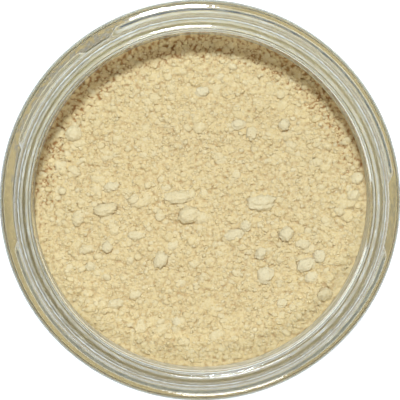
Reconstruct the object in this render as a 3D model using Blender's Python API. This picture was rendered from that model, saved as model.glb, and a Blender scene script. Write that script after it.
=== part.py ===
"""An open glass jar, filled up to its neck with maca root powder.

Two pieces: the clear glass jar, which has a screw thread for a lid, and the
powder in it. Units are metres, +Z is up, and the origin is the middle of the
base, on the surface that the jar stands on. The jar's two mould seams lie on
its +X and -X sides.
"""
import math
import random

import bmesh
import bpy
from mathutils import Vector, noise

MM = 0.001

# Jar: a straight-sided jar of about 120 ml, with a wide mouth and a 70 mm screw neck
HEIGHT = 47.6 * MM
BODY_RADIUS = 36.8 * MM
MOUTH_RADIUS = 30.2 * MM
NECK_RADIUS = 33.45 * MM
NECK_BOTTOM = 35.6 * MM
SHOULDER_ROUND = 2.0 * MM
NECK_FILLET = 0.6 * MM
RIM_OUTER_ROUND = 1.3 * MM
RIM_INNER_ROUND = 1.25 * MM
HEEL_WIDTH = 5.8 * MM
HEEL_HEIGHT = 5.5 * MM

# Base: a flat ring that the jar stands on, round a shallow hollow
RING_WIDTH = 4.5 * MM
HOLLOW_EDGE_WIDTH = 1.6 * MM
HOLLOW_EDGE_DEPTH = 0.7 * MM
HOLLOW_DEPTH = 1.2 * MM

# Inside: the straight mouth widens below the neck to the body's own bore
WALL = 3.4 * MM
FLOOR = 4.6 * MM
INSIDE_CORNER = 6.0 * MM
MOUTH_BOTTOM = 33.5 * MM
BORE_TOP = 26.0 * MM

# Thread: one right-hand turn, broken where it meets the two mould seams
THREAD_DEPTH = 1.2 * MM
THREAD_WIDTH = 2.7 * MM
THREAD_PITCH = 5.08 * MM
THREAD_TOP = 44.6 * MM
THREAD_START = math.radians(120)
THREAD_TURN = math.radians(354)
THREAD_TAPER = math.radians(9)
THREAD_ZONE_BOTTOM = 38.0 * MM
THREAD_ZONE_TOP = 46.0 * MM
SEAM_GAPS = ((math.radians(-4), math.radians(13)), (math.radians(178), math.radians(17)))

# Powder: it fills the jar to the top of the shoulder, with clumps lying on it
CLEARANCE = 0.3 * MM
FILL_LEVEL = 36.3 * MM
SIDE_TOP = 35.0 * MM
HOLLOWS_DEPTH = 0.35 * MM
HOLLOWS_LENGTH = 13.0 * MM
CRUMB_DEPTH = 0.16 * MM
CRUMB_LENGTH = 2.4 * MM
CLUMP_HEIGHT = 0.42
SMALL_CLUMPS = 70
SMALL_CLUMP_SIZES = (1.7 * MM, 2.6 * MM)
SMALL_CLUMP_REACH = 28.0 * MM
CLUMP_SEED = 12

# The large clumps, each with its x, y, length and width in millimetres and its turn in degrees
LARGE_CLUMPS = (
    (11.1, -0.2, 5.1, 2.8, 6),
    (5.9, -6.3, 3.7, 2.3, 12),
    (15.5, -6.1, 2.9, 2.4, 50),
    (19.1, -11.5, 3.5, 2.4, 20),
    (21.6, -10.1, 2.6, 2.4, 70),
    (11.8, -13.7, 3.7, 3.0, 80),
    (10.8, -9.7, 2.5, 2.0, 60),
    (18.7, -7.9, 2.8, 1.7, 0),
    (28.3, 4.1, 2.5, 2.1, 30),
    (27.8, 1.0, 2.5, 2.0, 15),
    (-4.2, 0.6, 5.1, 2.4, 4),
    (-16.3, 2.6, 2.8, 1.9, 10),
    (-12.2, 0.1, 2.4, 1.9, 35),
    (-22.3, -3.4, 2.4, 2.0, 50),
    (-20.7, -8.8, 2.8, 1.7, 8),
    (-16.9, -8.4, 2.2, 1.9, 80),
    (-11.7, -6.3, 3.5, 1.9, 5),
    (-17.3, -1.6, 4.3, 2.3, 12),
    (-2.1, -2.6, 3.7, 2.7, 20),
    (-23.0, 12.2, 3.0, 2.7, 40),
    (0.3, 19.8, 2.6, 1.9, 15),
    (22.5, -17.1, 2.8, 2.4, 45),
    (-4.2, -22.0, 2.0, 1.8, 0),
    (-15.5, -18.7, 2.8, 1.8, 10),
    (6.8, 13.8, 2.8, 2.0, 12),
    (9.2, 12.2, 2.4, 2.0, 75),
    (15.1, 13.8, 2.1, 1.9, 30),
    (-7.3, -10.8, 2.9, 2.3, 70),
    (-20.0, -11.9, 2.0, 1.8, 15),
    (8.3, -4.6, 2.2, 1.8, 65),
    (20.2, -13.9, 2.6, 2.0, 35),
    (14.8, -18.6, 2.2, 1.9, 20),
)

# Facets: how many columns go round each piece, and how many steps each curve has
JAR_COLUMNS = 80
HOLLOW_RINGS = (0.4, 0.75)
EDGE_STEPS = 2
HEEL_STEPS = 5
SHOULDER_STEPS = 4
THREAD_ROWS = 16
RIM_STEPS = 3
WIDENING_STEPS = 4
CORNER_STEPS = 5
SHARP_ANGLE = math.radians(40)

# The powder's surface is rings of triangles, each ring with six more vertices than the last
POWDER_COLUMNS = 60
POWDER_RINGS = 30
POWDER_CORNER_STEPS = 4


def remove_everything():
    """Empty the scene, so that only the jar and its powder are in it."""
    for item in list(bpy.data.objects):
        bpy.data.objects.remove(item)


def make_material(name, colour, roughness, transmission=0.0):
    """Make a plain material of one colour, given as linear red, green and blue."""
    material = bpy.data.materials.new(name)
    material.use_nodes = True
    shader = material.node_tree.nodes["Principled BSDF"]
    shader.inputs["Base Color"].default_value = (*colour, 1.0)
    shader.inputs["Roughness"].default_value = roughness
    shader.inputs["Metallic"].default_value = 0.0
    shader.inputs["Transmission Weight"].default_value = transmission
    return material


def smooth_step(value):
    """Ease from 0 to 1 while the value goes from 0 to 1."""
    value = min(max(value, 0.0), 1.0)
    return value * value * (3.0 - 2.0 * value)


def quarter_round(centre, radii, start_degrees, steps):
    """Points of a quarter ellipse, turning anticlockwise in the (radius, height) plane."""
    points = []
    for step in range(steps + 1):
        angle = math.radians(start_degrees + 90.0 * step / steps)
        points.append((centre[0] + radii[0] * math.cos(angle), centre[1] + radii[1] * math.sin(angle)))
    return points


def outside_profile():
    """Points (radius, height) from the middle of the base, out and up to the rim's flat."""
    heel_start = BODY_RADIUS - HEEL_WIDTH
    ring_start = heel_start - RING_WIDTH
    hollow_edge = ring_start - HOLLOW_EDGE_WIDTH
    points = [(0.0, HOLLOW_DEPTH)]
    for share in HOLLOW_RINGS:
        sag = (HOLLOW_DEPTH - HOLLOW_EDGE_DEPTH) * share ** 2
        points.append((hollow_edge * share, HOLLOW_DEPTH - sag))
    edge_radii = (HOLLOW_EDGE_WIDTH, HOLLOW_EDGE_DEPTH)
    points += quarter_round((ring_start, HOLLOW_EDGE_DEPTH), edge_radii, 180, EDGE_STEPS)
    points += quarter_round((heel_start, HEEL_HEIGHT), (HEEL_WIDTH, HEEL_HEIGHT), -90, HEEL_STEPS)
    ledge = NECK_RADIUS + NECK_FILLET
    shoulder_bottom = NECK_BOTTOM - NECK_FILLET - SHOULDER_ROUND
    shoulder_width = BODY_RADIUS - ledge
    shoulder_radii = (shoulder_width, SHOULDER_ROUND)
    points += quarter_round((ledge, shoulder_bottom), shoulder_radii, 0, SHOULDER_STEPS)
    fillet = quarter_round((ledge, NECK_BOTTOM), (NECK_FILLET, NECK_FILLET), 180, EDGE_STEPS)
    points += fillet[::-1][1:]
    for row in range(THREAD_ROWS + 1):
        share = row / THREAD_ROWS
        height = THREAD_ZONE_BOTTOM + (THREAD_ZONE_TOP - THREAD_ZONE_BOTTOM) * share
        points.append((NECK_RADIUS, height))
    round_centre = (NECK_RADIUS - RIM_OUTER_ROUND, HEIGHT - RIM_OUTER_ROUND)
    points += quarter_round(round_centre, (RIM_OUTER_ROUND, RIM_OUTER_ROUND), 0, RIM_STEPS)
    return points


def inside_profile(clearance, corner_steps):
    """Points (radius, height) of the bore, from the mouth's bottom down to the middle of the floor.

    The clearance moves the whole outline in from the glass, for what fills the jar.
    """
    mouth = MOUTH_RADIUS - clearance
    bore = BODY_RADIUS - WALL - clearance
    points = []
    for step in range(WIDENING_STEPS + 1):
        share = step / WIDENING_STEPS
        radius = mouth + (bore - mouth) * smooth_step(share)
        points.append((radius, MOUTH_BOTTOM + (BORE_TOP - MOUTH_BOTTOM) * share))
    corner = INSIDE_CORNER - clearance
    centre = (bore - corner, FLOOR + clearance + corner)
    points += quarter_round(centre, (corner, corner), -90, corner_steps)[::-1]
    points.append((0.0, FLOOR + clearance))
    return points


def thread_height(angle, height):
    """How far the thread stands out of the neck at an angle and a height."""
    travel = (THREAD_START - angle) % math.tau
    if travel > THREAD_TURN:
        return 0.0
    middle = THREAD_TOP - THREAD_PITCH * travel / math.tau
    across = abs(height - middle) / (THREAD_WIDTH / 2)
    if across >= 1.0:
        return 0.0
    depth = THREAD_DEPTH * (1.0 - across ** 2)
    depth *= smooth_step(travel / THREAD_TAPER)
    depth *= smooth_step((THREAD_TURN - travel) / THREAD_TAPER)
    for seam, half_gap in SEAM_GAPS:
        away = abs((angle - seam + math.pi) % math.tau - math.pi)
        depth *= smooth_step((away - half_gap) / THREAD_TAPER + 1.0)
    return depth


def make_ring(mesh, radius, height, columns, stand_out=None):
    """Add one level ring of vertices, or a single vertex where the radius is nothing."""
    if radius == 0.0:
        return [mesh.verts.new((0.0, 0.0, height))]
    ring = []
    for column in range(columns):
        angle = math.tau * column / columns
        reach = radius + (stand_out(angle, height) if stand_out else 0.0)
        ring.append(mesh.verts.new((reach * math.cos(angle), reach * math.sin(angle), height)))
    return ring


def join_rings(mesh, first, second):
    """Fill between two rings that have as many vertices, or of which one is a single vertex."""
    columns = max(len(first), len(second))
    for column in range(columns):
        following = (column + 1) % columns
        if len(first) == 1:
            mesh.faces.new((first[0], second[following], second[column]))
        elif len(second) == 1:
            mesh.faces.new((first[column], first[following], second[0]))
        else:
            mesh.faces.new((first[column], first[following], second[following], second[column]))


def join_to_finer_ring(mesh, coarse, fine):
    """Fill between a ring and one above it that has several times as many vertices."""
    ratio = len(fine) // len(coarse)
    half = (ratio + 1) // 2
    for column, left in enumerate(coarse):
        right = coarse[(column + 1) % len(coarse)]
        above = [fine[(column * ratio + step) % len(fine)] for step in range(ratio + 1)]
        mesh.faces.new((left, right, above[half]))
        for step in range(ratio):
            below = left if step < half else right
            mesh.faces.new((below, above[step + 1], above[step]))


def finish_object(name, mesh, material):
    """Turn the mesh into a smooth-shaded object with its material."""
    data = bpy.data.meshes.new(name)
    mesh.to_mesh(data)
    mesh.free()
    data.materials.append(material)
    data.shade_smooth()
    data.set_sharp_from_angle(angle=SHARP_ANGLE)
    item = bpy.data.objects.new(name, data)
    bpy.context.scene.collection.objects.link(item)
    return item


def make_jar():
    """The glass: one turned body, with the thread raised from its neck."""
    glass = make_material("clear_glass", (0.84, 0.88, 0.86), 0.02, transmission=1.0)
    mesh = bmesh.new()
    rings = [make_ring(mesh, radius, height, JAR_COLUMNS, thread_height)
             for radius, height in outside_profile()]
    round_centre = (MOUTH_RADIUS + RIM_INNER_ROUND, HEIGHT - RIM_INNER_ROUND)
    rim = quarter_round(round_centre, (RIM_INNER_ROUND, RIM_INNER_ROUND), 90, RIM_STEPS)
    rings += [make_ring(mesh, radius, height, JAR_COLUMNS)
              for radius, height in rim + inside_profile(0.0, CORNER_STEPS)]
    for first, second in zip(rings, rings[1:]):
        join_rings(mesh, first, second)
    return finish_object("jar", mesh, glass)


def all_clumps():
    """The large clumps as placed, and small ones scattered between them."""
    clumps = [(x * MM, y * MM, length * MM, width * MM, math.radians(turn))
              for x, y, length, width, turn in LARGE_CLUMPS]
    draw = random.Random(CLUMP_SEED)
    for _ in range(SMALL_CLUMPS):
        reach = SMALL_CLUMP_REACH * math.sqrt(draw.random())
        angle = draw.uniform(0.0, math.tau)
        size = draw.uniform(*SMALL_CLUMP_SIZES)
        place = (reach * math.cos(angle), reach * math.sin(angle))
        clumps.append((*place, size, size * draw.uniform(0.7, 0.95), draw.uniform(0.0, math.pi)))
    return clumps


def clump_height(clump, x, y):
    """Height of one clump above the powder at a place, as half of a flattened egg."""
    centre_x, centre_y, length, width, turn = clump
    east = x - centre_x
    north = y - centre_y
    along = (east * math.cos(turn) + north * math.sin(turn)) / (length / 2)
    across = (north * math.cos(turn) - east * math.sin(turn)) / (width / 2)
    inside = 1.0 - along ** 2 - across ** 2
    return CLUMP_HEIGHT * width * math.sqrt(inside) if inside > 0.0 else 0.0


def powder_height(clumps, x, y):
    """Height of the powder's surface: low hollows and crumb, with the clumps standing out."""
    place = Vector((x, y, 0.0))
    hollows = HOLLOWS_DEPTH * noise.noise(place / HOLLOWS_LENGTH)
    crumb = CRUMB_DEPTH * noise.noise(place / CRUMB_LENGTH)
    return FILL_LEVEL + hollows + crumb + max(clump_height(clump, x, y) for clump in clumps)


def make_powder_surface(mesh, radius):
    """The powder's surface as rings of triangles; returns its outermost ring."""
    clumps = all_clumps()
    rings = [[mesh.verts.new((0.0, 0.0, powder_height(clumps, 0.0, 0.0)))]]
    for number in range(1, POWDER_RINGS + 1):
        ring = []
        for step in range(6 * number):
            angle = math.tau * step / (6 * number)
            x = radius * number / POWDER_RINGS * math.cos(angle)
            y = radius * number / POWDER_RINGS * math.sin(angle)
            ring.append(mesh.verts.new((x, y, powder_height(clumps, x, y))))
        rings.append(ring)
    for number in range(1, POWDER_RINGS + 1):
        outer = rings[number]
        inner = rings[number - 1]
        for side in range(6):
            for step in range(number):
                left = outer[side * number + step]
                right = outer[(side * number + step + 1) % len(outer)]
                below = inner[(side * (number - 1) + step) % len(inner)]
                mesh.faces.new((left, right, below))
                if step:
                    before = inner[side * (number - 1) + step - 1]
                    mesh.faces.new((before, left, below))
    return rings[-1]


def make_powder():
    """The powder: it follows the inside of the glass and ends in its own rough surface."""
    flour = make_material("maca_powder", (0.73, 0.60, 0.34), 0.95)
    mesh = bmesh.new()
    mouth = MOUTH_RADIUS - CLEARANCE
    profile = inside_profile(CLEARANCE, POWDER_CORNER_STEPS)[::-1] + [(mouth, SIDE_TOP)]
    rings = [make_ring(mesh, radius, height, POWDER_COLUMNS) for radius, height in profile]
    for first, second in zip(rings, rings[1:]):
        join_rings(mesh, first, second)
    edge = make_powder_surface(mesh, mouth)
    join_to_finer_ring(mesh, rings[-1], edge)
    return finish_object("powder", mesh, flour)


remove_everything()
make_jar()
make_powder()
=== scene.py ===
import math

import bmesh
import bpy
import numpy as np
from mathutils import Matrix, Vector


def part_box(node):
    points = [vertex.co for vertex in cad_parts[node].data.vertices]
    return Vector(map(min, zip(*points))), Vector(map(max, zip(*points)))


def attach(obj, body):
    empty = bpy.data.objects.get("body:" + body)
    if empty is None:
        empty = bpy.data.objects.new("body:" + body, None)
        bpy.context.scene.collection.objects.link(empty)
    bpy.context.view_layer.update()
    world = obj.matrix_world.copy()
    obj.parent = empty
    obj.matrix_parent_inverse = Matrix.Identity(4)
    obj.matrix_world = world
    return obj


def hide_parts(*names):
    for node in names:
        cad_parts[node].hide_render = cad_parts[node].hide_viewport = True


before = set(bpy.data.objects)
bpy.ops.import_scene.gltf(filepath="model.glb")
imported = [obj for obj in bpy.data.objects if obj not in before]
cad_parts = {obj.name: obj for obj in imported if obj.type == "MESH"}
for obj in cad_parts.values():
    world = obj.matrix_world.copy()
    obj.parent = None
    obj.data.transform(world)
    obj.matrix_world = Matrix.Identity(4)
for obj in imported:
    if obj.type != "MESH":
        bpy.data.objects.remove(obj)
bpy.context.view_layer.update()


# The jar
# One piece of clear soda-lime glass, pressed in a mould of two halves. One turn of screw thread
# runs round its neck, broken at both mould seams. It stands free on a knurled ring.
MM = 0.001
BODY_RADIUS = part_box("jar")[1].x
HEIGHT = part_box("jar")[1].z
WALL = 3.4 * MM
FLOOR = 4.6 * MM
HEEL_WIDTH = 5.8 * MM
HEEL_HEIGHT = 5.5 * MM
RING_WIDTH = 4.5 * MM
KNURLS = 90
KNURL_DEPTH = 0.12 * MM
KNURL_REACH = 1.6
HOLLOW_EDGE = 1.6 * MM
HOLLOW_EDGE_DEPTH = 0.7 * MM
HOLLOW_DEPTH = 1.2 * MM
SHOULDER_TOP = 35.0 * MM
SHOULDER_BEND = 0.045 / MM
# The rounded edges of the shoulder and the rim, each with its width and its height
SHOULDER_ROUND = (0.8 * MM, 1.4 * MM)
RIM_OUTER_ROUND = (2.5 * MM, 3.0 * MM)
RIM_FULLNESS = 1.8
RIM_INNER_ROUND = 0.75 * MM
NECK_RADIUS = 33.45 * MM
NECK_BOTTOM = 35.6 * MM
NECK_FILLET = 0.6 * MM
MOUTH_RADIUS = 30.2 * MM
MOUTH_BOTTOM = 33.5 * MM
BORE_TOP = 26.0 * MM
INSIDE_CORNER = 6.0 * MM
THREAD_DEPTH = 1.2 * MM
THREAD_WIDTH = 2.7 * MM
THREAD_PITCH = 5.08 * MM
THREAD_TOP = 44.6 * MM
THREAD_BLUNTNESS = 1.2
THREAD_START = math.radians(120)
THREAD_TURN = math.radians(354)
THREAD_TAPER = math.radians(4.5)
# The gaps in the thread, each with the angle of its middle and half its width
SEAM_GAPS = ((math.radians(-4), math.radians(13)), (math.radians(178), math.radians(17)))
SEAMS = (0.0, math.pi)
SEAM_RIDGE = 0.09 * MM
SEAM_WIDTH = 0.45 * MM
SEAM_COLUMNS = np.radians((-0.6, -0.45, -0.3, -0.15, 0.15, 0.3, 0.45, 0.6))
# The seams fade out over the rim, between two radii
SEAM_FADE = (28 * MM, 32 * MM)
WAVINESS = 0.035 * MM
QUICK_WAVES = 0.15
# How soon the waves grow above the heel, and fade below the rim outside and inside
HEEL_FADE, RIM_FADE, MOUTH_FADE = 3 * MM, 2 * MM, 4 * MM
# Where in their course the waves of the outside and of the inside begin, so that they differ
WAVES_OUTSIDE, WAVES_INSIDE = 0.4, 1.7
# Steps along the rim's round, the mouth, its widening, the bore, the corner and the floor
GLASS_STEPS = (9, 16, 12, 8, 10, 5)


def smooth_step(value):
    """Ease from 0 to 1 while the value goes from 0 to 1."""
    value = np.clip(value, 0.0, 1.0)
    return value * value * (3.0 - 2.0 * value)


def arc(centre, radii, start, end, steps, fullness=2.0):
    """Points (radius, height) along part of an ellipse, between two angles in degrees.

    A fullness under 2 draws the ellipse in between its ends, and bends it more at them.
    """
    turn = np.radians(np.linspace(start, end, steps + 1))
    ways = np.column_stack((np.cos(turn), np.sin(turn)))
    ways = np.sign(ways) * np.abs(ways) ** (2.0 / fullness)
    return np.array(centre) + ways * radii


def straight(start, end, steps):
    """Points (radius, height) along a straight line."""
    return np.linspace(start, end, steps + 1)


def without_repeats(*stretches):
    """Join stretches of an outline, and drop each point that repeats the one before it."""
    points = np.vstack(stretches)
    steps = np.linalg.norm(np.diff(points, axis=0), axis=1)
    return points[np.concatenate(([True], steps > 1e-7))]


def base_outline(ring_start):
    """The hollow of the base from its middle out: nearly flat, then down to the ring it stands on."""
    hollow_edge = ring_start - HOLLOW_EDGE
    share = np.linspace(0.0, 1.0, 9)
    sag = (HOLLOW_DEPTH - HOLLOW_EDGE_DEPTH) * share ** 2
    hollow = np.column_stack((hollow_edge * share, HOLLOW_DEPTH - sag))
    edge = np.column_stack((hollow_edge + HOLLOW_EDGE * share,
                            HOLLOW_EDGE_DEPTH * (1.0 - smooth_step(share))))
    return np.vstack((hollow, edge))


def shoulder_outline(body):
    """The shoulder from the body in to the neck: its rounded edge, then a slight rise."""
    ledge = NECK_RADIUS + NECK_FILLET
    width, drop = SHOULDER_ROUND
    round_start = body - width
    round_part = round_start + width * np.sin(np.radians(np.linspace(8, 90, 12)))
    out = np.concatenate((np.linspace(ledge, round_start, 9), round_part))
    over = np.clip((out - round_start) / width, 0.0, 1.0)
    fall = SHOULDER_BEND * (out - ledge) ** 2 + drop * (1.0 - np.sqrt(1.0 - over ** 2))
    return np.column_stack((out, SHOULDER_TOP - fall))[::-1]


def outside_outline():
    """The glass from the middle of its base, out and up to the inner edge of the rim."""
    body = BODY_RADIUS - SEAM_RIDGE
    heel_start = body - HEEL_WIDTH
    ring_start = heel_start - RING_WIDTH
    shoulder = shoulder_outline(body)
    ledge = NECK_RADIUS + NECK_FILLET
    neck_top = HEIGHT - RIM_OUTER_ROUND[1]
    return without_repeats(
        base_outline(ring_start),
        straight((ring_start, 0.0), (heel_start, 0.0), 6),
        arc((heel_start, HEEL_HEIGHT), (HEEL_WIDTH, HEEL_HEIGHT), -90, 0, 14),
        straight((body, HEEL_HEIGHT), tuple(shoulder[0]), 18),
        shoulder,
        arc((ledge, NECK_BOTTOM), (NECK_FILLET, NECK_FILLET), 270, 180, 5),
        straight((NECK_RADIUS, NECK_BOTTOM), (NECK_RADIUS, neck_top), 62),
        arc((NECK_RADIUS - RIM_OUTER_ROUND[0], neck_top), RIM_OUTER_ROUND, 0, 90, 22, RIM_FULLNESS),
    )


def inside_outline(clearance, steps):
    """The bore from the rim to the middle of the floor, moved in by a clearance."""
    mouth = MOUTH_RADIUS - clearance
    bore = BODY_RADIUS - WALL - clearance
    corner = INSIDE_CORNER - clearance
    rim_centre = (MOUTH_RADIUS + RIM_INNER_ROUND, HEIGHT - RIM_INNER_ROUND)
    rim_radius = RIM_INNER_ROUND + clearance
    share = np.linspace(0.0, 1.0, steps[2] + 1)
    widening = np.column_stack((mouth + (bore - mouth) * smooth_step(share),
                                MOUTH_BOTTOM + (BORE_TOP - MOUTH_BOTTOM) * share))
    floor_corner = (bore - corner, FLOOR + clearance + corner)
    return without_repeats(
        arc(rim_centre, (rim_radius, rim_radius), 90, 180, steps[0]),
        straight((mouth, HEIGHT - RIM_INNER_ROUND), (mouth, MOUTH_BOTTOM), steps[1]),
        widening,
        straight((bore, BORE_TOP), (bore, floor_corner[1]), steps[3]),
        arc(floor_corner, (corner, corner), 0, -90, steps[4]),
        straight((floor_corner[0], FLOOR + clearance), (0.0, FLOOR + clearance), steps[5]),
    )


def angle_between(angle, other):
    """How far apart two angles are, either way round."""
    return np.abs((angle - other + math.pi) % math.tau - math.pi)


def thread_height(angle, height):
    """How far the thread stands out of the neck at angles and heights."""
    travel = (THREAD_START - angle) % math.tau
    middle = THREAD_TOP - THREAD_PITCH * travel / math.tau
    across = np.clip(np.abs(height - middle) / (THREAD_WIDTH / 2), 0.0, 1.0)
    depth = THREAD_DEPTH * (1.0 - across ** 2) ** THREAD_BLUNTNESS
    depth = depth * smooth_step(travel / THREAD_TAPER)
    depth = depth * smooth_step((THREAD_TURN - travel) / THREAD_TAPER)
    for middle_of_gap, half_gap in SEAM_GAPS:
        away = angle_between(angle, middle_of_gap)
        depth = depth * smooth_step((away - half_gap) / THREAD_TAPER + 1.0)
    return depth


def seam_height(angle, radius):
    """The fine ridge that each joint of the mould leaves down the outside."""
    ridge = np.zeros(np.broadcast(angle, radius).shape)
    for seam in SEAMS:
        away = angle_between(angle, seam) * radius
        ridge = ridge + SEAM_RIDGE * smooth_step(1.0 - away / (SEAM_WIDTH / 2))
    return ridge


def ripple(angle, height, turns, rise, shift):
    """A wave round and up a glass wall, from -1 to 1."""
    return np.sin(turns * angle + rise * height / HEIGHT + shift)


def waves(angle, height, shift):
    """The unevenness of pressed glass, always inward, so that no wall grows past its outline."""
    slow = ripple(angle, height, 3, 2.1, shift) + ripple(angle, height, 7, -3.4, 2.0 * shift)
    quick = ripple(angle, height, 19, 5.2, 3.0 * shift) + ripple(angle, height, 31, -7.7, shift + 1.0)
    highest = 2.0 + 2.0 * QUICK_WAVES
    return WAVINESS * (slow + QUICK_WAVES * quick - highest) / (2.0 * highest)


def ring_points(radius, angle, height):
    """Points round the jar's axis."""
    return np.stack(np.broadcast_arrays(radius * np.cos(angle), radius * np.sin(angle), height), axis=-1)


def ring_faces(rows):
    """Faces between rings of points, from one end of an outline to the other."""
    index = np.arange(rows.shape[0] * rows.shape[1]).reshape(rows.shape[:2])
    following = np.roll(index, -1, axis=1)
    corners = (index[:-1], following[:-1], following[1:], index[1:])
    return np.stack(corners, axis=-1).reshape(-1, 4).tolist()


def smooth_mesh(name, points, faces):
    """A smoothly shaded mesh of points and faces."""
    mesh = bpy.data.meshes.new(name)
    mesh.from_pydata(points, [], faces)
    mesh.shade_smooth()
    return mesh


def jar_rings():
    """All rings of the glass: up the outside, over the rim and down the inside."""
    extra = np.concatenate([seam + SEAM_COLUMNS for seam in SEAMS]) % math.tau
    angle = np.sort(np.concatenate((np.radians(np.arange(360)), extra)))[None, :]
    outside = outside_outline()[1:]
    radius, height = outside[:, :1], outside[:, 1:]
    on_wall = smooth_step((height - HEEL_HEIGHT) / HEEL_FADE) * smooth_step((HEIGHT - height) / RIM_FADE)
    off_rim = smooth_step((radius - SEAM_FADE[0]) / (SEAM_FADE[1] - SEAM_FADE[0]))
    reach = radius + thread_height(angle, height) + on_wall * waves(angle, height, WAVES_OUTSIDE)
    reach = reach + off_rim * on_wall * seam_height(angle, radius)
    ring_middle = BODY_RADIUS - HEEL_WIDTH - RING_WIDTH / 2
    on_ring = smooth_step(KNURL_REACH - np.abs(radius - ring_middle) / (RING_WIDTH / 2))
    at_foot = height < 1 * MM
    knurl = KNURL_DEPTH * (0.5 + 0.5 * np.cos(KNURLS * angle)) * on_ring * at_foot
    outer = ring_points(reach, angle, height + knurl)
    inside = inside_outline(0.0, GLASS_STEPS)[:-1]
    radius, height = inside[:, :1], inside[:, 1:]
    below_rim = smooth_step((HEIGHT - RIM_INNER_ROUND - height) / MOUTH_FADE)
    inner = ring_points(radius - below_rim * waves(angle, height, WAVES_INSIDE), angle, height)
    return np.concatenate((outer, inner))


def jar_mesh():
    """The glass as one closed body, shut in the middle of its base and of its floor."""
    rows = jar_rings()
    ring = range(rows.shape[1])
    points = rows.reshape(-1, 3).tolist()
    base = len(points)
    last_ring = base - len(ring)
    faces = ring_faces(rows)
    faces += [(base, (column + 1) % len(ring), column) for column in ring]
    faces += [(last_ring + column, last_ring + (column + 1) % len(ring), base + 1) for column in ring]
    points += [rows[0].mean(axis=0).tolist(), rows[-1].mean(axis=0).tolist()]
    return smooth_mesh("glass_jar", points, faces)


def linear(hex_colour):
    """Turn an sRGB hex value into the linear colour that a shader takes."""
    parts = [int(hex_colour[start:start + 2], 16) / 255 for start in (1, 3, 5)]
    return (*[part / 12.92 if part <= 0.04045 else ((part + 0.055) / 1.055) ** 2.4 for part in parts], 1.0)


def add_node(tree, kind, inputs=None, **settings):
    """Add a shader node. Each input is a value, or the output that feeds it."""
    node = tree.nodes.new(kind)
    for name, value in settings.items():
        setattr(node, name, value)
    for socket, value in (inputs or {}).items():
        if isinstance(value, bpy.types.NodeSocket):
            tree.links.new(value, node.inputs[socket])
        else:
            node.inputs[socket].default_value = value
    return node


# The sockets of a node that mixes colours: its share, its two colours and its result
SHARE, FIRST, SECOND, MIXED = 0, 6, 7, 2


def let_through(tree, where, height):
    """The part of direct light that goes on through a face of the glass.

    The wall bends some of it away, here more at its outer face than at its inner one. The thick
    rim keeps back nearly all of it round the mouth, and so draws a soft shadow.
    """
    just_past_bore = BODY_RADIUS - WALL + 0.2 * MM
    just_past_mouth = MOUTH_RADIUS + 0.8 * MM
    shade_start, shade_full = NECK_BOTTOM + 0.7 * MM, HEIGHT - 6.2 * MM
    level = add_node(tree, "ShaderNodeVectorMath", {0: where, 1: (1.0, 1.0, 0.0)}, operation="MULTIPLY")
    out = add_node(tree, "ShaderNodeVectorMath", {0: level.outputs["Vector"]}, operation="LENGTH")
    outer_face = add_node(tree, "ShaderNodeMath", {
        0: out.outputs["Value"], 1: just_past_bore}, operation="GREATER_THAN")
    mouth_face = add_node(tree, "ShaderNodeMath", {
        0: out.outputs["Value"], 1: just_past_mouth}, operation="LESS_THAN")
    in_neck = add_node(tree, "ShaderNodeMapRange", {
        "Value": height, "From Min": NECK_BOTTOM - 2 * MM, "From Max": NECK_BOTTOM})
    up_rim = add_node(tree, "ShaderNodeMapRange", {
        "Value": height, "From Min": shade_start, "From Max": shade_full})
    kept_back = add_node(tree, "ShaderNodeMath", {
        0: up_rim.outputs["Result"], 1: mouth_face.outputs[0]}, operation="MULTIPLY")
    body = add_node(tree, "ShaderNodeMix", {
        SHARE: outer_face.outputs[0], FIRST: linear("#C4C4BE"), SECOND: linear("#787872")},
        data_type="RGBA")
    walls = add_node(tree, "ShaderNodeMix", {
        SHARE: in_neck.outputs["Result"], FIRST: body.outputs[MIXED], SECOND: linear("#AAAAA0")},
        data_type="RGBA")
    glass = add_node(tree, "ShaderNodeMix", {
        SHARE: kept_back.outputs[0], FIRST: walls.outputs[MIXED], SECOND: linear("#20201C")},
        data_type="RGBA")
    return glass.outputs[MIXED]


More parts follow.
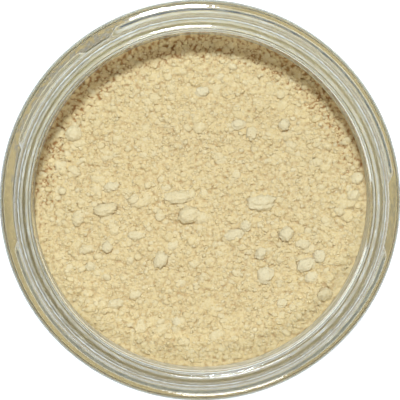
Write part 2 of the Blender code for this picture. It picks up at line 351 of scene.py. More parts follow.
def flint_glass():
    """Clear container glass, fire-polished by the mould: smooth, glossy and faintly wavy.

    The rounded edge of the shoulder carries a grey-blue painted shade, which darkens the jar's outline.
    """
    material = bpy.data.materials.new("flint_glass_pressed")
    material.use_nodes = True
    tree = material.node_tree
    tree.nodes.clear()
    where = add_node(tree, "ShaderNodeTexCoord").outputs["Object"]
    height = add_node(tree, "ShaderNodeSeparateXYZ", {"Vector": where}).outputs["Z"]
    normal = None
    # Slow swirls and a fine ripple, each with its size, its depth and its strength
    for size, depth, strength in ((6 * MM, 0.05 * MM, 0.25), (0.9 * MM, 0.012 * MM, 1.0)):
        noise = add_node(tree, "ShaderNodeTexNoise", {"Vector": where, "Scale": 1 / size, "Detail": 1.0})
        bump = add_node(tree, "ShaderNodeBump", {
            "Height": noise.outputs["Fac"], "Strength": strength, "Distance": depth})
        if normal is not None:
            tree.links.new(normal, bump.inputs["Normal"])
        normal = bump.outputs["Normal"]
    # Painted shade: a grey-blue tint over the shoulder's rounded edge darkens the outline
    over_edge = add_node(tree, "ShaderNodeMapRange", {
        "Value": height, "From Min": SHOULDER_TOP - 0.2 * MM, "From Max": SHOULDER_TOP - 0.6 * MM})
    under_edge = add_node(tree, "ShaderNodeMapRange", {
        "Value": height, "From Min": SHOULDER_TOP - 4 * MM, "From Max": SHOULDER_TOP - 2 * MM})
    at_edge = add_node(tree, "ShaderNodeMath", {
        0: over_edge.outputs["Result"], 1: under_edge.outputs["Result"]}, operation="MULTIPLY")
    painted_edge_shade = add_node(tree, "ShaderNodeMix", {
        SHARE: at_edge.outputs[0], FIRST: linear("#F7FAF6"), SECOND: linear("#A9B8BC")},
        data_type="RGBA")
    glass = add_node(tree, "ShaderNodeBsdfPrincipled", {
        "Base Color": painted_edge_shade.outputs[MIXED], "Roughness": 0.05, "IOR": 1.52, "Transmission Weight": 1.0,
        "Normal": normal})
    clear = add_node(tree, "ShaderNodeBsdfTransparent", {"Color": let_through(tree, where, height)})
    ray = add_node(tree, "ShaderNodeLightPath")
    mixed = add_node(tree, "ShaderNodeMixShader", {
        0: ray.outputs["Is Shadow Ray"], 1: glass.outputs["BSDF"], 2: clear.outputs["BSDF"]})
    add_node(tree, "ShaderNodeOutputMaterial", {"Surface": mixed.outputs["Shader"]})
    return material


def place(name, mesh, material):
    """Put a mesh into the scene as a piece with its material."""
    mesh.materials.append(material)
    piece = bpy.data.objects.new(name, mesh)
    bpy.context.scene.collection.objects.link(piece)
    return piece


jar = place("glass_jar", jar_mesh(), flint_glass())
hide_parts("jar")
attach(jar, "root")


# The powder
# Maca root, dried, milled fine and spooned into the jar: a loose mass that follows the inside
# of the glass and ends in a soft, crumbly surface, roughest at the wall behind.
FILL_LEVEL = 36.3 * MM
POWDER_RADIUS = MOUTH_RADIUS + 0.03 * MM
POWDER_CONTACT = 0.08 * MM
POWDER_GAP = 0.12 * MM
POWDER_STEPS = (1, 20, 20, 3, 5, 1)
SURFACE_RINGS = 150
CELL = 0.1 * MM
GRAINS = 7000
GRAIN_SIZES = (0.5 * MM, 1.5 * MM)
GRAIN_RAGGEDNESS = 0.35
GRAIN_HEIGHT = 0.4
# How much the grains differ in level, and how far a wide one stands out more than a narrow one
GRAIN_SPREAD, GRAIN_RISE = 0.13 * MM, 0.1
LOWEST_GRAIN = -0.3 * MM
# The angles between which the grains and the small clumps lie lengthwise
LYING = (-0.6, 0.9)
# Unevenness of the surface, each kind with the size of its lumps, its height and its stretch
FLOUR = ((0.6 * MM, 0.05 * MM, 1.3), (0.3 * MM, 0.04 * MM, 1.0))
LOOSE_AT_WALL = ((0.6 * MM, 0.28 * MM, 1.0), (0.4 * MM, 0.18 * MM, 1.0))
HEAPS = ((9 * MM, 0.3 * MM, 1.0), (3 * MM, 0.12 * MM, 1.5))
# The cracks between lumps, each kind with the size of the lumps and its depth
CRACKS = ((1.6 * MM, 0.08 * MM), (0.8 * MM, 0.05 * MM))
CRACK_WIDTH = 0.12
# At the wall behind, where the rim's shadow falls, the powder lies looser and gets more painted shade,
# over it and in its hollows. Each of the two begins at a share of the radius, and grows over another.
LOOSE_START, LOOSE_WIDTH = 0.78, 0.15
PAINTED_SHADE_START, PAINTED_SHADE_WIDTH = 0.8, 0.12
# How much painted shade the hollows and the powder at the wall behind get, and how deep the darkest hollow
# is
HOLLOW_PAINTED_SHADE, WALL_PAINTED_SHADE = 0.6, 0.16
DARKEST_HOLLOW = 0.14 * MM
SIDES_TOP = FILL_LEVEL - 1.5 * MM
draw = np.random.default_rng(31)


def cloud(shape, size, stretch=1.0):
    """Smooth random heights from -1 to 1 over the powder, in lumps of a given size."""
    rows, columns = shape
    tall = int(rows * CELL / size) + 3
    wide = int(columns * CELL / (size * stretch)) + 3
    lattice = draw.uniform(-1.0, 1.0, (tall, wide))
    row = np.arange(rows)[:, None] * CELL / size
    column = np.arange(columns)[None, :] * CELL / (size * stretch)
    top, left = row.astype(int), column.astype(int)
    down, across = smooth_step(row - top), smooth_step(column - left)
    upper = lattice[top, left] * (1 - across) + lattice[top, left + 1] * across
    lower = lattice[top + 1, left] * (1 - across) + lattice[top + 1, left + 1] * across
    return upper * (1 - down) + lower * down


def clouds(shape, kinds):
    """The sum of clouds, each kind with its size, its height and its stretch."""
    return sum(height * cloud(shape, size, stretch) for size, height, stretch in kinds)


def raise_grain(relief, ragged, x, y, length, width, turn, height):
    """Raise one blunt grain out of the relief, with a ragged edge."""
    reach = int(length / CELL) + 2
    middle = relief.shape[0] // 2
    row, column = int(round(y / CELL)) + middle, int(round(x / CELL)) + middle
    window = (slice(max(row - reach, 0), row + reach + 1),
              slice(max(column - reach, 0), column + reach + 1))
    rows, columns = np.mgrid[window[0], window[1]][:, :relief[window].shape[0], :relief[window].shape[1]]
    east = (columns - middle) * CELL - x
    north = (rows - middle) * CELL - y
    along = (east * math.cos(turn) + north * math.sin(turn)) / (length / 2)
    across = (north * math.cos(turn) - east * math.sin(turn)) / (width / 2)
    inside = 1.0 - (along ** 2 + across ** 2) ** 1.5 + GRAIN_RAGGEDNESS * ragged[window]
    dome = np.sqrt(np.clip(inside, 0.0, None)) - 1.0
    relief[window] = np.maximum(relief[window], height + GRAIN_HEIGHT * width * dome)


def near_wall_behind(x, y, start, width):
    """How near places are to the wall behind, a little to the left, from 0 to 1."""
    out = np.hypot(x, y)
    near = smooth_step((out / POWDER_RADIUS - start) / width)
    return near * smooth_step(0.4 + (y - 0.1 * x) / (out + CELL))


def powder_relief():
    """The height of the powder's surface over its level, on a square of cells."""
    cells = 2 * int(POWDER_RADIUS / CELL) + 12
    shape = (cells, cells)
    ragged = cloud(shape, 0.7 * MM) + 0.6 * cloud(shape, 0.3 * MM)
    relief = np.full(shape, LOWEST_GRAIN)
    for _ in range(GRAINS):
        away = POWDER_RADIUS * math.sqrt(draw.random())
        angle = draw.uniform(0.0, math.tau)
        width = GRAIN_SIZES[0] + (GRAIN_SIZES[1] - GRAIN_SIZES[0]) * draw.random() ** 3
        height = draw.normal(0.0, GRAIN_SPREAD) + GRAIN_RISE * width
        raise_grain(relief, ragged, away * math.cos(angle), away * math.sin(angle),
                    width * draw.uniform(1.0, 1.6), width, draw.uniform(*LYING), height)
    relief = relief + clouds(shape, FLOUR)
    row, column = (np.indices(shape) - cells // 2) * CELL
    at_wall = near_wall_behind(column, row, LOOSE_START, LOOSE_WIDTH)
    relief = relief + at_wall * clouds(shape, LOOSE_AT_WALL)
    for size, depth in CRACKS:
        split = np.abs(cloud(shape, size, 1.4) + 0.5 * cloud(shape, 0.4 * size))
        relief = relief - (1 + 5 * at_wall) * depth * np.clip(1.0 - split / CRACK_WIDTH, 0.0, 1.0)
    return relief + clouds(shape, HEAPS)


def blurred(heights, reach):
    """The mean of the cells round each cell."""
    for axis in (0, 1):
        heights = sum(np.roll(heights, step, axis) for step in range(-reach, reach + 1)) / (2 * reach + 1)
    return heights


def sample(heights, x, y):
    """Read a square of cells between its points."""
    middle = heights.shape[0] // 2
    column, row = np.asarray(x / CELL + middle), np.asarray(y / CELL + middle)
    left, low = np.floor(column).astype(int), np.floor(row).astype(int)
    across, up = column - left, row - low
    lower = heights[low, left] * (1 - across) + heights[low, left + 1] * across
    upper = heights[low + 1, left] * (1 - across) + heights[low + 1, left + 1] * across
    return lower * (1 - up) + upper * up


def surface_points(relief):
    """The surface as a middle point and rings round it, of which ring number n has 6 n points."""
    rings = [np.zeros((1, 3))]
    for number in range(1, SURFACE_RINGS + 1):
        turn = np.arange(6 * number) * math.tau / (6 * number)
        rings.append(ring_points(POWDER_RADIUS * number / SURFACE_RINGS, turn, 0.0))
    surface = np.concatenate(rings)
    surface[:, 2] = FILL_LEVEL + sample(relief, surface[:, 0], surface[:, 1])
    return surface


def surface_triangles(first):
    """Triangles between the rings of the surface, whose middle point has the number first."""
    faces = []
    for number in range(1, SURFACE_RINGS + 1):
        ring = np.arange(6 * number)
        inner_count = max(6 * (number - 1), 1)
        outer = first + 1 + 3 * number * (number - 1)
        inner = outer - inner_count
        side, step = np.divmod(ring, number)
        within = side * (number - 1) + step
        below = inner + within % inner_count
        faces.append(np.column_stack((outer + ring, outer + (ring + 1) % len(ring), below)))
        faces.append(np.column_stack((inner + within - 1, outer + ring, below))[step > 0])
    return np.concatenate(faces)


def painted_hollow_shade(relief, surface):
    """How much painted shade each point of the surface gets, for lying under those round it and at the
    wall behind, from 0 to 1.
    """
    sunk = np.clip((blurred(blurred(relief, 4), 4) - relief) / DARKEST_HOLLOW, 0.0, 1.0)
    hollow = sample(sunk, surface[:, 0], surface[:, 1])
    at_wall = near_wall_behind(surface[:, 0], surface[:, 1], PAINTED_SHADE_START, PAINTED_SHADE_WIDTH)
    return np.minimum(WALL_PAINTED_SHADE * at_wall + HOLLOW_PAINTED_SHADE * hollow * (1.0 + at_wall), 1.0)


def add_shares(mesh, name, values):
    """Give each point of a mesh a value that its material reads."""
    mesh.attributes.new(name, "FLOAT", "POINT").data.foreach_set("value", values)


def powder_mesh(relief):
    """The powder as one closed body: its floor and sides, and the rough surface on top.

    Its sides touch the glass of the body, and keep just clear of it where the bore narrows.
    """
    outline = inside_outline(0.0, POWDER_STEPS)
    outline = outline[outline[:, 1] < SIDES_TOP][::-1][1:]
    columns = 6 * SURFACE_RINGS
    angle = np.arange(columns)[None, :] * math.tau / columns
    under_neck = smooth_step((outline[:, 1:] - BORE_TOP + 1 * MM) / (2 * MM))
    reach = POWDER_CONTACT - (POWDER_CONTACT + POWDER_GAP) * under_neck
    sides = ring_points(outline[:, :1] + reach, angle, outline[:, 1:])
    surface = surface_points(relief)
    bottom = sides.shape[0] * columns
    top_ring = bottom - columns
    first = bottom + 1
    edge = first + len(surface) - columns
    faces = ring_faces(sides)
    faces += [(bottom, (column + 1) % columns, column) for column in range(columns)]
    faces += surface_triangles(first).tolist()
    for column in range(columns):
        following = (column + 1) % columns
        faces.append((top_ring + column, top_ring + following, edge + following, edge + column))
    floor_middle = [[0.0, 0.0, FLOOR - POWDER_CONTACT]]
    points = np.concatenate((sides.reshape(-1, 3), floor_middle, surface))
    mesh = smooth_mesh("maca_root_powder", points.tolist(), faces)
    # The hollow share holds painted shade; the sides and floor share marks where the material paints light
    add_shares(mesh, "hollow", np.concatenate((np.zeros(first), painted_hollow_shade(relief, surface))))
    add_shares(mesh, "sides_and_floor", np.concatenate((np.ones(first), np.zeros(len(surface)))))
    return mesh


def milled_root():
    """Dry milled root: matt and cream yellow, with brown flecks of skin and brown painted shade in its
    hollows.

    Clumps are paler than the crumb. The powder's sides against the glass are painted paler and warmer:
    painted light.
    """
    material = bpy.data.materials.new("maca_root_milled")
    material.use_nodes = True
    tree = material.node_tree
    shader = tree.nodes["Principled BSDF"]
    shader.inputs["Roughness"].default_value = 0.95
    shader.inputs["Specular IOR Level"].default_value = 0.2
    where = add_node(tree, "ShaderNodeTexCoord").outputs["Object"]
    drift_size, fleck_size = 7 * MM, 1.1 * MM
    # The flour is finer than 0.1 mm, so its grain and grit are drawn as coarse as they need to show
    grain_size, grit_size = 0.45 * MM, 0.4 * MM
    drift = add_node(tree, "ShaderNodeTexNoise", {"Vector": where, "Scale": 1 / drift_size, "Detail": 2.0})
    flour = add_node(tree, "ShaderNodeMix", {
        SHARE: drift.outputs["Fac"], FIRST: linear("#E1CC9B"), SECOND: linear("#E6D4A8")},
        data_type="RGBA")
    grain = add_node(tree, "ShaderNodeTexNoise", {
        "Vector": where, "Scale": 1 / grain_size, "Detail": 3.0, "Roughness": 0.7})
    grained = add_node(tree, "ShaderNodeMapRange", {
        "Value": grain.outputs["Fac"], "From Min": 0.3, "From Max": 0.75})
    paleness = add_node(tree, "ShaderNodeAttribute", attribute_name="paleness")
    pale = add_node(tree, "ShaderNodeMath", {0: paleness.outputs["Fac"], 1: 0.9}, operation="MULTIPLY")
    # The hollow share is brown painted shade: in hollows, at the wall behind, and at the feet of clumps
    # and crumbs
    hollow = add_node(tree, "ShaderNodeAttribute", attribute_name="hollow")
    painted_shade = add_node(tree, "ShaderNodeMath", {0: hollow.outputs["Fac"], 1: 0.95}, operation="MULTIPLY")
    # Painted light: the sides and floor of the powder get a paler, warmer colour
    sides_and_floor = add_node(tree, "ShaderNodeAttribute", attribute_name="sides_and_floor")
    painted_side_light = add_node(tree, "ShaderNodeMix", {
        SHARE: grained.outputs["Result"], FIRST: linear("#F9E6B8"), SECOND: linear("#EED49C")},
        data_type="RGBA")
    flecks = add_node(tree, "ShaderNodeTexVoronoi", {
        "Vector": where, "Scale": 1 / fleck_size, "Randomness": 1.0})
    in_fleck = add_node(tree, "ShaderNodeMapRange", {
        "Value": flecks.outputs["Distance"], "From Min": 0.05, "From Max": 0.12, "To Min": 0.45,
        "To Max": 0.0})
    colour = flour.outputs[MIXED]
    for share, over_it in ((grained.outputs["Result"], linear("#D8BE84")),
                           (pale.outputs[0], linear("#DFD6B8")),
                           (painted_shade.outputs[0], linear("#A07240")),
                           (sides_and_floor.outputs["Fac"], painted_side_light.outputs[MIXED]),
                           (in_fleck.outputs["Result"], linear("#A9743F"))):
        mixed = add_node(tree, "ShaderNodeMix", {SHARE: share, FIRST: colour, SECOND: over_it},
                         data_type="RGBA")
        colour = mixed.outputs[MIXED]
    grit = add_node(tree, "ShaderNodeTexNoise", {
        "Vector": where, "Scale": 1 / grit_size, "Detail": 3.0, "Roughness": 0.7})
    bump = add_node(tree, "ShaderNodeBump", {
        "Height": grit.outputs["Fac"], "Strength": 1.0, "Distance": 0.3 * MM})
    tree.links.new(colour, shader.inputs["Base Color"])
    tree.links.new(bump.outputs["Normal"], shader.inputs["Normal"])
    return material


relief = powder_relief()
root_powder = milled_root()
powder = place("maca_root_powder", powder_mesh(relief), root_powder)
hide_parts("powder")
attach(powder, "root")


# The clumps
# Powder that drew a little damp and stuck together into soft pebbles. They lie half sunk in the
# surface, blunt and uneven, and a shade paler than the crumb round them.
BLUNTNESS = 0.9
CLUMP_LEAN = 0.15
# How high a large clump is, as a share of its width
LARGE_CLUMP_HEIGHT = 0.84
# The large clumps, each with its x, y, length and width in millimetres and its turn in degrees
LARGE_CLUMPS = (
    (11.1, -0.2, 5.1, 2.8, 6),
    (5.9, -6.3, 3.7, 2.3, 12),
    (15.5, -6.1, 2.9, 2.4, 50),
    (19.1, -11.5, 3.5, 2.4, 20),
    (21.6, -10.1, 2.6, 2.4, 70),
    (11.8, -13.7, 3.7, 3.0, 80),
    (10.8, -9.7, 2.5, 2.0, 60),
    (18.7, -7.9, 2.8, 1.7, 0),
    (28.3, 4.1, 2.5, 2.1, 30),
    (27.8, 1.0, 2.5, 2.0, 15),
    (-4.2, 0.6, 5.1, 2.4, 4),
    (-16.3, 2.6, 2.8, 1.9, 10),
    (-12.2, 0.1, 2.4, 1.9, 35),
    (-22.3, -3.4, 2.4, 2.0, 50),
    (-20.7, -8.8, 2.8, 1.7, 8),
    (-16.9, -8.4, 2.2, 1.9, 80),
    (-11.7, -6.3, 3.5, 1.9, 5),
    (-17.3, -1.6, 4.3, 2.3, 12),
    (-2.1, -2.6, 3.7, 2.7, 20),
    (-23.0, 12.2, 3.0, 2.7, 40),
    (0.3, 19.8, 2.6, 1.9, 15),
    (22.5, -17.1, 2.8, 2.4, 45),
    (-4.2, -22.0, 2.0, 1.8, 0),
    (-15.5, -18.7, 2.8, 1.8, 10),
    (6.8, 13.8, 2.8, 2.0, 12),
    (9.2, 12.2, 2.4, 2.0, 75),
    (15.1, 13.8, 2.1, 1.9, 30),
    (-7.3, -10.8, 2.9, 2.3, 70),
    (-20.0, -11.9, 2.0, 1.8, 15),
    (8.3, -4.6, 2.2, 1.8, 65),
    (20.2, -13.9, 2.6, 2.0, 35),
    (14.8, -18.6, 2.2, 1.9, 20),
)
# The small clumps in two sorts, each with its number, its least and greatest width and its fineness
SMALL_CLUMPS = ((140, 1.2 * MM, 2.2 * MM, 3), (900, 0.7 * MM, 1.3 * MM, 2))
# The dents in a clump, each kind with how many waves it makes over the clump and its depth
DENTS = ((1.6, 0.8), (3.2, 0.5), (6.0, 0.5), (11.0, 0.7), (19.0, 0.6))
DENT_DEPTH = 0.17
SMALL_DENT_DEPTH = 0.16
# How much painted shade the foot of a clump gets, and how far it is sunk in, in shares of its width
FOOT_PAINTED_SHADE = 0.75
LARGE_SUNK, SMALL_SUNK = 0.06, 0.14


def ball(steps):
    """Corners and triangles of a round ball of radius 1."""
    shape = bmesh.new()
    bmesh.ops.create_icosphere(shape, subdivisions=steps, radius=1.0)
    corners = np.array([vertex.co[:] for vertex in shape.verts])
    faces = np.array([[vertex.index for vertex in face.verts] for face in shape.faces])
    shape.free()
    return corners, faces


def turned(points, turn):
    """Points turned about the vertical."""
    x, y = points[:, 0], points[:, 1]
    return np.column_stack((x * math.cos(turn) - y * math.sin(turn),
                            x * math.sin(turn) + y * math.cos(turn), points[:, 2]))


def lump(corners, length, width, height, turn, dent_depth):
    """One uneven egg: the ball with broad and fine dents, stretched, tilted and turned.

    Each row is a point and its painted shade, which grows towards the foot of the lump.
    """
    dent = np.zeros(len(corners))
    for pitch, depth in DENTS:
        ways = draw.normal(size=(3, 3))
        ways = pitch * ways / np.linalg.norm(ways, axis=1)[:, None]
        dent = dent + depth * np.cos(corners @ ways.T + draw.uniform(0, math.tau, 3)).sum(axis=1) / 3
    blunt = np.sign(corners) * np.abs(corners) ** BLUNTNESS
    shape = blunt * (1.0 + dent_depth * dent)[:, None] * (length / 2, width / 2, height / 2)
    x, y, z = shape.T
    foot_shade = FOOT_PAINTED_SHADE * np.clip(0.5 - z / (0.4 * height), 0.0, 1.0)
    lean = draw.normal(0.0, CLUMP_LEAN)
    leaning = np.column_stack((x, y * math.cos(lean) - z * math.sin(lean),
                               y * math.sin(lean) + z * math.cos(lean)))
    return np.column_stack((turned(leaning, turn), foot_shade))


def scattered(name, pieces):
    """One mesh of many lumps. Each piece gives its corners with their painted shade, its triangles and how
    pale it is.
    """
    points, faces, pale, first = [], [], [], 0
    for corners, triangles, paleness in pieces:
        points.append(corners)
        faces.append(triangles + first)
        pale.append(np.full(len(corners), paleness))
        first += len(corners)
    points = np.concatenate(points)
    mesh = smooth_mesh(name, points[:, :3].tolist(), np.concatenate(faces).tolist())
    add_shares(mesh, "paleness", np.concatenate(pale))
    # The fourth column is each corner's painted shade, kept in the hollow share
    add_shares(mesh, "hollow", points[:, 3].copy())
    return mesh


def random_spot(reach):
    """A place on the powder, anywhere within a reach of the middle."""
    away, angle = reach * math.sqrt(draw.random()), draw.uniform(0.0, math.tau)
    return away * math.cos(angle), away * math.sin(angle)


def clumps():
    """The large clumps where they lie in the photograph, and smaller ones among them."""
    corners, faces = ball(4)
    for x, y, length, width, turn in LARGE_CLUMPS:
        x, y, length, width = x * MM, y * MM, length * MM, width * MM
        shape = lump(corners, length, width, LARGE_CLUMP_HEIGHT * width, math.radians(turn), DENT_DEPTH)
        level = FILL_LEVEL + sample(relief, x, y) - LARGE_SUNK * width
        yield shape + (x, y, level, 0.0), faces, draw.uniform(0.25, 0.5)
    for count, least, greatest, steps in SMALL_CLUMPS:
        corners, faces = ball(steps)
        for _ in range(count):
            width = least + (greatest - least) * draw.random() ** 2
            x, y = random_spot(MOUTH_RADIUS - 0.8 * greatest)
            shape = lump(corners, width * draw.uniform(1.0, 1.5), width, width * draw.uniform(0.6, 0.8),
                         draw.uniform(*LYING), SMALL_DENT_DEPTH)
            level = FILL_LEVEL + sample(relief, x, y) - SMALL_SUNK * width
            yield shape + (x, y, level, 0.0), faces, draw.uniform(0.0, 0.3)


clump_piece = place("maca_root_clumps", scattered("maca_root_clumps", clumps()), root_powder)
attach(clump_piece, "root")


# The crumb
# The loose coarse grain of the milling, a third of a millimetre to nearly one across, that lies
# all over the surface and gives it its tooth.
CRUMBS = 8500
CRUMB_SIZES = (0.3 * MM, 0.8 * MM)
CRUMB_JITTER = 0.25
# How much painted shade the foot of a crumb gets
CRUMB_PAINTED_SHADE = 0.6
CRUMB_LYING = (-0.8, 1.2)


def crumbs():
    """Small angular grains, half sunk in the surface, with painted shade at their feet."""
    corners, faces = ball(1)
    for _ in range(CRUMBS):
        width = CRUMB_SIZES[0] + (CRUMB_SIZES[1] - CRUMB_SIZES[0]) * draw.random() ** 3
        x, y = random_spot(MOUTH_RADIUS - CRUMB_SIZES[1])
        jitter = 1.0 + draw.uniform(-CRUMB_JITTER, CRUMB_JITTER, len(corners))
        shape = corners * jitter[:, None] * (width * draw.uniform(0.5, 0.75), width / 2, 0.4 * width)
        foot_shade = CRUMB_PAINTED_SHADE * np.clip(0.3 - shape[:, 2] / (0.3 * width), 0.0, 1.0)
        grain = np.column_stack((turned(shape, draw.uniform(*CRUMB_LYING)), foot_shade))
        level = FILL_LEVEL + sample(relief, x, y)
        yield grain + (x, y, level, 0.0), faces, 0.3 * draw.random() ** 2


crumb_piece = place("maca_root_crumb", scattered("maca_root_crumb", crumbs()), root_powder)
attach(crumb_piece, "root")


# The dust on the glass
# The finest flour of the root, which clings to the inside of the glass: half a coat where the
# powder lies against it, and a haze above that thins out towards the rim.
DUST_DEPTH = 0.05 * MM
DUST_LIFT = 0.08 * MM
DUST_TOP = 46.3 * MM
DUST_BOTTOM = 25.0 * MM
DUST_STEPS = (1, 26, 16, 8, 1, 1)
COAT_COVER = 0.47
# The haze is thinnest at the back left and thickest at the front right
HAZE_COVER = (0.3, 0.95)
HAZE_SIDE = math.radians(-60)


def dust_mesh():
    """A coat just under the glass's surface where powder lies against it, and on it above."""
    outline = inside_outline(-DUST_DEPTH, DUST_STEPS)
    outline = outline[(outline[:, 1] > DUST_BOTTOM) & (outline[:, 1] < DUST_TOP)]
    angle = np.radians(np.arange(0, 360, 2))[None, :]
    height = outline[:, 1:]
    above = smooth_step((height - FILL_LEVEL + 0.6 * MM) / (0.6 * MM))
    rows = ring_points(outline[:, :1] - DUST_LIFT * above, angle, height)
    front_right = 0.5 + 0.5 * np.cos(angle - HAZE_SIDE)
    left_over = np.clip((DUST_TOP - height) / (DUST_TOP - FILL_LEVEL), 0.0, 1.0)
    thickest = HAZE_COVER[0] + (HAZE_COVER[1] - HAZE_COVER[0]) * front_right
    haze = thickest * left_over ** (1.6 - front_right)
    cover = np.where(height < FILL_LEVEL, COAT_COVER, haze)
    mesh = smooth_mesh("maca_dust_on_glass", rows.reshape(-1, 3).tolist(), ring_faces(rows))
    add_shares(mesh, "cover", cover.ravel())
    return mesh


def root_dust():
    """Root flour on glass: matt, thin enough to see through, in soft drifts.

    It is warm cream where the powder lies behind it, and paler above the powder.
    """
    material = bpy.data.materials.new("maca_root_dust")
    material.use_nodes = True
    tree = material.node_tree
    shader = tree.nodes["Principled BSDF"]
    shader.inputs["Roughness"].default_value = 0.95
    shader.inputs["Specular IOR Level"].default_value = 0.0
    where = add_node(tree, "ShaderNodeTexCoord").outputs["Object"]
    height = add_node(tree, "ShaderNodeSeparateXYZ", {"Vector": where}).outputs["Z"]
    above = add_node(tree, "ShaderNodeMapRange", {
        "Value": height, "From Min": FILL_LEVEL - 1 * MM, "From Max": FILL_LEVEL + 1 * MM})
    flour = add_node(tree, "ShaderNodeMix", {
        SHARE: above.outputs["Result"], FIRST: linear("#F5E2B6"), SECOND: linear("#EEE5CC")},
        data_type="RGBA")
    tree.links.new(flour.outputs[MIXED], shader.inputs["Base Color"])
    drift_size = 2 * MM
    drift = add_node(tree, "ShaderNodeTexNoise", {"Vector": where, "Scale": 1 / drift_size, "Detail": 3.0})
    patchy = add_node(tree, "ShaderNodeMapRange", {
        "Value": drift.outputs["Fac"], "From Min": 0.3, "From Max": 0.7, "To Min": 0.6, "To Max": 1.4})
    cover = add_node(tree, "ShaderNodeAttribute", attribute_name="cover")
    opaque = add_node(tree, "ShaderNodeMath", {
        0: cover.outputs["Fac"], 1: patchy.outputs["Result"]}, operation="MULTIPLY", use_clamp=True)
    tree.links.new(opaque.outputs[0], shader.inputs["Alpha"])
    return material


dust_piece = place("maca_dust_on_glass", dust_mesh(), root_dust())
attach(dust_piece, "root")


# The studio
# A light table of milk-white acrylic shines softly up through the glass, but for a dark ring under
# the heel. A lamp behind draws the rim's shadow, and a weaker one in front and the room fill it.
TABLE_SIZE = 12.0
TABLE_LIT_MIDDLE = (13 * MM, -12 * MM, 0.0)
TABLE_LIT_RADII = (0.11, 0.2)
TABLE_GLOW = (1.05, 0.05)
DARK_RING = (32 * MM, 43 * MM)
DARK_RING_SOFTNESS = 1 * MM
LAMP_DISTANCE = 0.9
# The light that comes from each part of the room, as linear colours
LEFT_WALL = (0.10, 0.16, 0.24, 1.0)
PALE_WALLS = (0.72, 0.72, 0.68, 1.0)
NEAR_GROUND = (0.05, 0.08, 0.13, 1.0)
CEILING = (0.21, 0.135, 0.035, 1.0)
WHITE = (1.0, 1.0, 1.0, 1.0)


def light_table():
    """Milk-white acrylic lit from below round the jar, and plain white to the camera."""
    material = bpy.data.materials.new("lit_white_acrylic")
    material.use_nodes = True
    tree = material.node_tree
    shader = tree.nodes["Principled BSDF"]
    shader.inputs["Base Color"].default_value = linear("#8C8C88")
    shader.inputs["Roughness"].default_value = 0.6
    shader.inputs["Emission Color"].default_value = (0.90, 0.96, 1.02, 1.0)
    where = add_node(tree, "ShaderNodeTexCoord").outputs["Object"]
    away = add_node(tree, "ShaderNodeVectorMath", {0: where, 1: TABLE_LIT_MIDDLE}, operation="DISTANCE")
    lit = add_node(tree, "ShaderNodeMapRange", {
        "Value": away.outputs["Value"], "From Min": TABLE_LIT_RADII[0], "From Max": TABLE_LIT_RADII[1],
        "To Min": TABLE_GLOW[0], "To Max": TABLE_GLOW[1]})
    out = add_node(tree, "ShaderNodeVectorMath", {0: where}, operation="LENGTH")
    past_middle = add_node(tree, "ShaderNodeMath", {
        0: out.outputs["Value"], 1: sum(DARK_RING) / 2}, operation="SUBTRACT")
    off_middle = add_node(tree, "ShaderNodeMath", {0: past_middle.outputs[0]}, operation="ABSOLUTE")
    half_ring = (DARK_RING[1] - DARK_RING[0]) / 2
    off_ring = add_node(tree, "ShaderNodeMapRange", {
        "Value": off_middle.outputs[0], "From Min": half_ring - DARK_RING_SOFTNESS,
        "From Max": half_ring + DARK_RING_SOFTNESS})
    shining = add_node(tree, "ShaderNodeMath", {
        0: lit.outputs["Result"], 1: off_ring.outputs["Result"]}, operation="MULTIPLY")
    ray = add_node(tree, "ShaderNodeLightPath")
    glow = add_node(tree, "ShaderNodeMix", {
        "Factor": ray.outputs["Is Camera Ray"], "A": shining.outputs[0], "B": 1.0}, data_type="FLOAT")
    tree.links.new(glow.outputs["Result"], shader.inputs["Emission Strength"])
    return material


half = TABLE_SIZE / 2
table_corners = [(-half, -half, 0), (half, -half, 0), (half, half, 0), (-half, half, 0)]
table_mesh = bpy.data.meshes.new("table")
table_mesh.from_pydata(table_corners, [], [(0, 1, 2, 3)])
table = place("table", table_mesh, light_table())


def hang_lamp(name, azimuth, rise, size, power, colour):
    """Hang a lamp that shines on the powder, at an azimuth clockwise from +Y and a height angle."""
    data = bpy.data.lights.new(name, "AREA")
    data.shape = "RECTANGLE"
    data.size, data.size_y = size
    data.energy = power
    data.color = colour
    lamp = bpy.data.objects.new(name, data)
    aim = Vector((0.0, 0.0, FILL_LEVEL))
    out = LAMP_DISTANCE * math.cos(rise)
    lamp.location = aim + Vector((out * math.sin(azimuth), out * math.cos(azimuth),
                                  LAMP_DISTANCE * math.sin(rise)))
    lamp.rotation_euler = (aim - lamp.location).to_track_quat("-Z", "Y").to_euler()
    bpy.context.scene.collection.objects.link(lamp)


hang_lamp("key_lamp", math.radians(-5), math.radians(70), (0.12, 0.08), 8.9, (0.72, 0.84, 1.0))
hang_lamp("window", math.radians(168), math.radians(68), (0.2, 0.16), 1.9, (0.92, 0.93, 0.95))


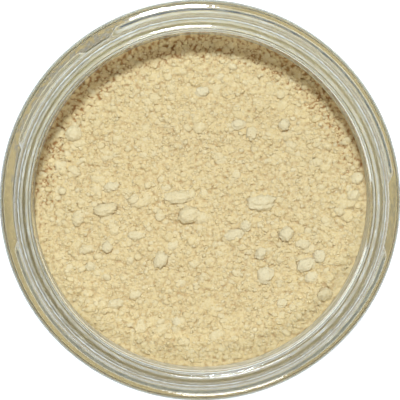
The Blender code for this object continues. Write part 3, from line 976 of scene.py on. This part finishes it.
def room_light():
    """The room: pale walls that are dim at the left and near the ground, and a dim, warm ceiling.

    To the camera it is plain white.
    """
    world = bpy.data.worlds.new("room")
    world.use_nodes = True
    tree = world.node_tree
    way = add_node(tree, "ShaderNodeTexCoord").outputs["Generated"]
    parts = add_node(tree, "ShaderNodeSeparateXYZ", {"Vector": way})
    # Where a ray leaves the left wall, leaves the ground and reaches the ceiling
    off_left, off_ground, overhead = [
        add_node(tree, "ShaderNodeMapRange", {
            "Value": parts.outputs[axis], "From Min": start, "From Max": end},
            interpolation_type="SMOOTHSTEP").outputs["Result"]
        for axis, start, end in (("X", -0.8, -0.2), ("Z", 0.2, 0.3), ("Z", 0.45, 0.7))]
    walls = add_node(tree, "ShaderNodeMix", {
        SHARE: off_left, FIRST: LEFT_WALL, SECOND: PALE_WALLS}, data_type="RGBA")
    above = add_node(tree, "ShaderNodeMix", {
        SHARE: off_ground, FIRST: NEAR_GROUND, SECOND: walls.outputs[MIXED]}, data_type="RGBA")
    room = add_node(tree, "ShaderNodeMix", {
        SHARE: overhead, FIRST: above.outputs[MIXED], SECOND: CEILING}, data_type="RGBA")
    ray = add_node(tree, "ShaderNodeLightPath")
    seen = add_node(tree, "ShaderNodeMix", {
        SHARE: ray.outputs["Is Camera Ray"], FIRST: room.outputs[MIXED], SECOND: WHITE},
        data_type="RGBA")
    tree.links.new(seen.outputs[MIXED], tree.nodes["Background"].inputs["Color"])
    return world


bpy.context.scene.world = room_light()
bpy.context.scene.view_settings.view_transform = "Standard"

# The camera looks down into the mouth from 400 mm above it, a finger's breadth to the back left.
# It is aimed so that the jar's widest edge fills the frame, as it does in the photograph.
CAMERA_RISE = 400 * MM
CAMERA_LEAN = math.radians(1.9)
WIDEST = Vector((0.0, 0.0, SHOULDER_TOP - SHOULDER_ROUND[1]))
AIM_SHIFT = Vector((-0.07 * MM, 0.07 * MM, 0.0))
# In pixels from the middle of the picture: its side, and the jar's widest edge
HALF_FRAME = 200
SEEN_EDGE = 200.7
camera_data = bpy.data.cameras.new("camera")
camera = bpy.data.objects.new("camera", camera_data)
bpy.context.scene.collection.objects.link(camera)
lean = math.tan(CAMERA_LEAN) * CAMERA_RISE / math.sqrt(2)
camera.location = (-lean, lean, HEIGHT + CAMERA_RISE)
sight = (WIDEST + AIM_SHIFT - camera.location).normalized()
right = sight.cross(Vector((0.0, 1.0, 0.0))).normalized()
camera.rotation_euler = Matrix((right, right.cross(sight), -sight)).transposed().to_euler()
seen_radius = BODY_RADIUS - SEAM_RIDGE - WAVINESS / 2
half_width = seen_radius * HALF_FRAME / SEEN_EDGE
camera_data.angle = 2 * math.atan(half_width / (WIDEST - camera.location).length)
bpy.context.scene.camera = camera
